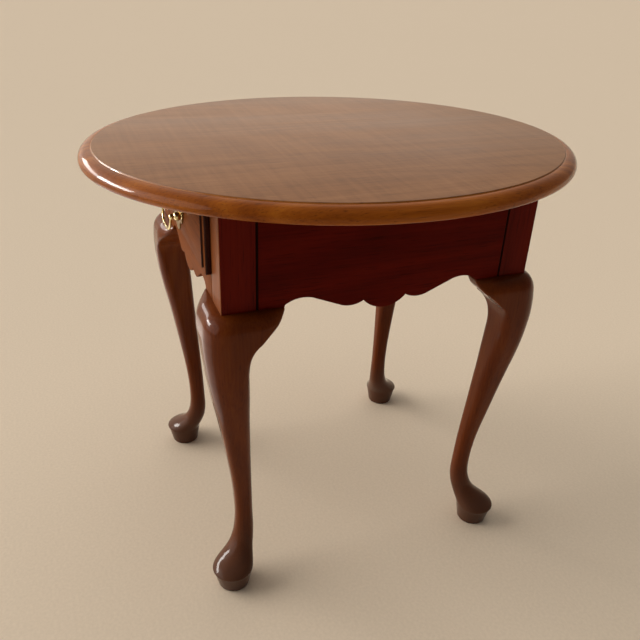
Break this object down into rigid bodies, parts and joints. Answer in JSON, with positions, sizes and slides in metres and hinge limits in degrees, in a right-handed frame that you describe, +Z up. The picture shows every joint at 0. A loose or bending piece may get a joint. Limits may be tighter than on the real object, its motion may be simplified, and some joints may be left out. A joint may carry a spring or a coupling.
{
  "type": "oval end table with drawer",
  "caption": "Oval-topped wooden end table on cabriole legs with pad feet, scalloped aprons and a lipped end drawer with a brass bail pull.",
  "frame": {"origin": "on the floor under the middle of the oval top", "axes": "+Z up, +Y along the length of the top, with the drawer in the end that faces -Y"},
  "size_m": [0.558, 0.652, 0.576],
  "materials": {
    "top_wood": "satin gloss lacquer over reddish-brown cherry",
    "frame_wood": "satin gloss lacquer over dark red cherry",
    "leg_wood": "gloss lacquer over dark reddish-brown cherry",
    "drawer_wood": "satin gloss lacquer over reddish-brown cherry",
    "inner_wood": "plain unstained wood",
    "brass": "polished brass",
    "steel": "zinc-plated screws"
  },
  "bodies": {
    "frame": {"table_top": "top_wood", "leg_front_right": "leg_wood", "leg_front_left": "leg_wood", "leg_rear_right": "leg_wood", "leg_rear_left": "leg_wood", "knee_block_front_right_side": "leg_wood", "knee_block_front_right_end": "leg_wood", "knee_block_front_left_side": "leg_wood", "knee_block_front_left_end": "leg_wood", "knee_block_rear_right_side": "leg_wood", "knee_block_rear_right_end": "leg_wood", "knee_block_rear_left_side": "leg_wood", "knee_block_rear_left_end": "leg_wood", "apron_right": "frame_wood", "apron_left": "frame_wood", "apron_rear": "frame_wood", "drawer_rail": "frame_wood", "upper_rail": "frame_wood", "runner_right": "inner_wood", "runner_left": "inner_wood", "drawer_guide_right": "inner_wood", "drawer_guide_left": "inner_wood", "kicker_right": "inner_wood", "kicker_left": "inner_wood", "corner_block_right": "inner_wood", "corner_block_left": "inner_wood", "top_screws": "steel", "corner_block_screws": "steel"},
    "drawer": {"drawer_front": "drawer_wood", "drawer_side_right": "inner_wood", "drawer_side_left": "inner_wood", "drawer_back": "inner_wood", "drawer_bottom": "inner_wood", "pull_plate": "brass", "pull_post_right": "brass", "pull_post_left": "brass", "pull_nuts": "brass"},
    "bail": {"bail": "brass"}
  },
  "joints": [
    {"name": "drawer_slide", "type": "slide", "parent": "frame", "child": "drawer", "axis": [0, -1, 0], "range_m": [0, 0.22]},
    {"name": "bail_swing", "type": "hinge", "parent": "drawer", "child": "bail", "pos_m": [0, -0.2266, 0.4965], "axis": [-1, 0, 0], "range_deg": [-20, 110]}
  ]
}
